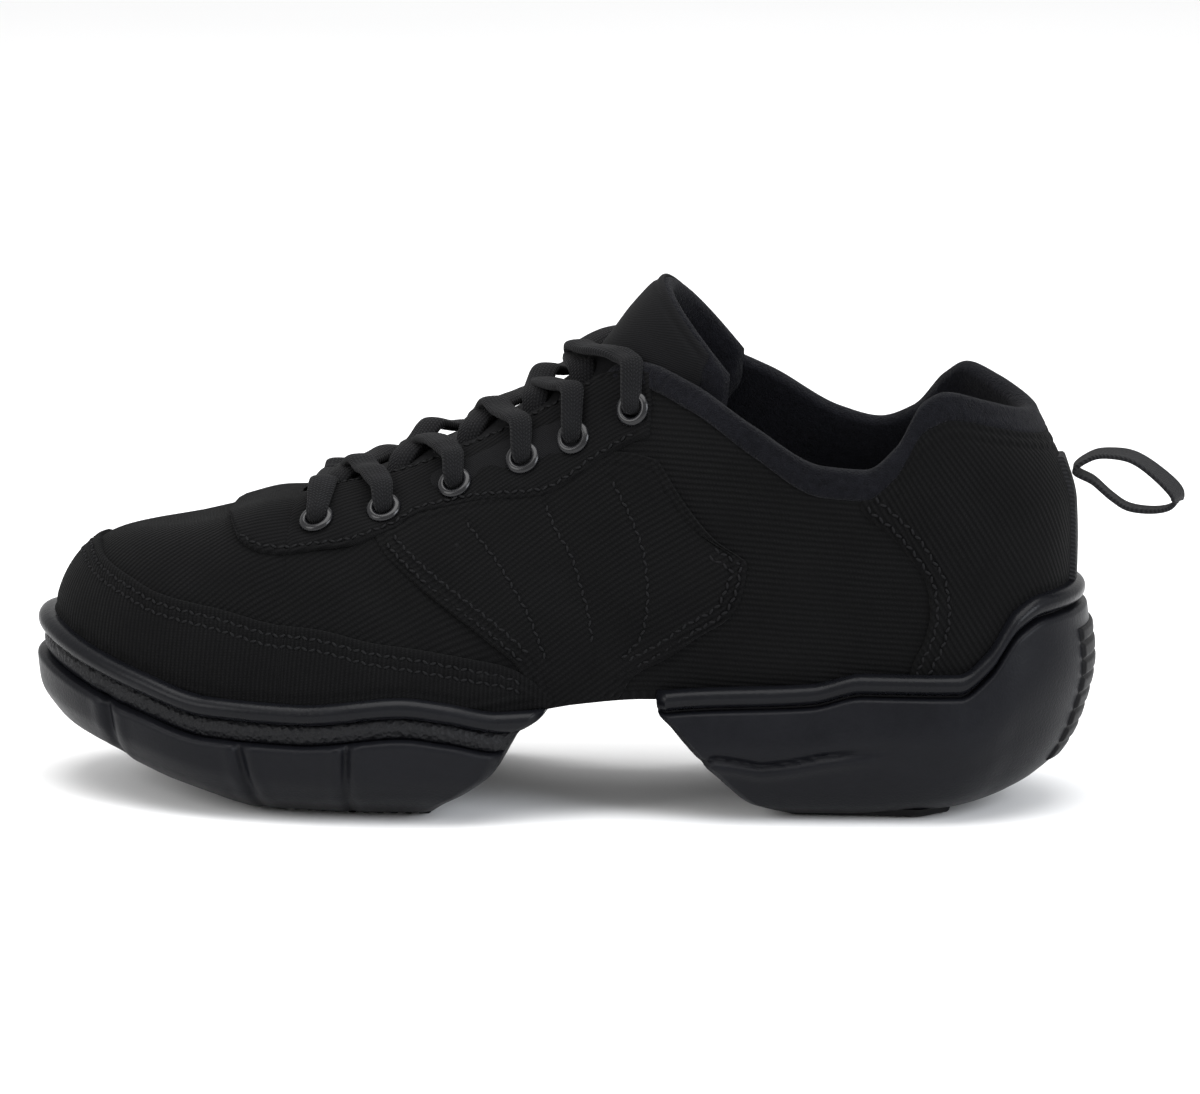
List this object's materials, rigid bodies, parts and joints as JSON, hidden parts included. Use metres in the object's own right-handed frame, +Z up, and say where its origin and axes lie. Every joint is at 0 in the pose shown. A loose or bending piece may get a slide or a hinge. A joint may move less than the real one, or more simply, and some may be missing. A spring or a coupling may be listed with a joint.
{
  "type": "dance sneaker",
  "caption": "Low lace-up dance sneaker in black woven cloth with a split sole, padded collar and tongue, and a pull loop at the heel",
  "frame": {"origin": "on the floor, under the middle of the shoe's length and width", "axes": "+Z up, the toe points to -X, the outer side of the foot is -Y and the inner side +Y"},
  "size_m": [0.2849, 0.1006, 0.1297],
  "materials": {
    "cloth": "matte ribbed weave",
    "tongue_cloth": "smooth matte cloth over padding",
    "lining": "soft nap",
    "webbing": "herringbone tape",
    "lace": "flat knitted lace",
    "sole_rubber": "satin, fine pebble",
    "tread_rubber": "matte",
    "insert_rubber": "matte, ribbed",
    "enamel": "gloss enamel"
  },
  "bodies": {
    "root": {"upper": "cloth", "toe_wrap": "cloth", "eyestay": "cloth", "saddle_outer": "cloth", "saddle_inner": "cloth", "heel_counter": "cloth", "back_strip": "webbing", "pull_loop": "webbing", "tongue": "tongue_cloth", "tongue_keeper": "webbing", "insole": "lining", "forefoot_sole": "sole_rubber", "heel_sole": "sole_rubber", "forefoot_tread": "tread_rubber", "heel_tread": "tread_rubber", "heel_insert": "insert_rubber", "lace_1": "lace", "lace_2": "lace", "lace_3": "lace", "lace_4": "lace", "lace_5": "lace", "eyelet_outer_1": "enamel", "eyelet_outer_2": "enamel", "eyelet_outer_3": "enamel", "eyelet_outer_4": "enamel", "eyelet_outer_5": "enamel", "eyelet_outer_6": "enamel", "eyelet_inner_1": "enamel", "eyelet_inner_2": "enamel", "eyelet_inner_3": "enamel", "eyelet_inner_4": "enamel", "eyelet_inner_5": "enamel", "eyelet_inner_6": "enamel"}
  },
  "joints": []
}
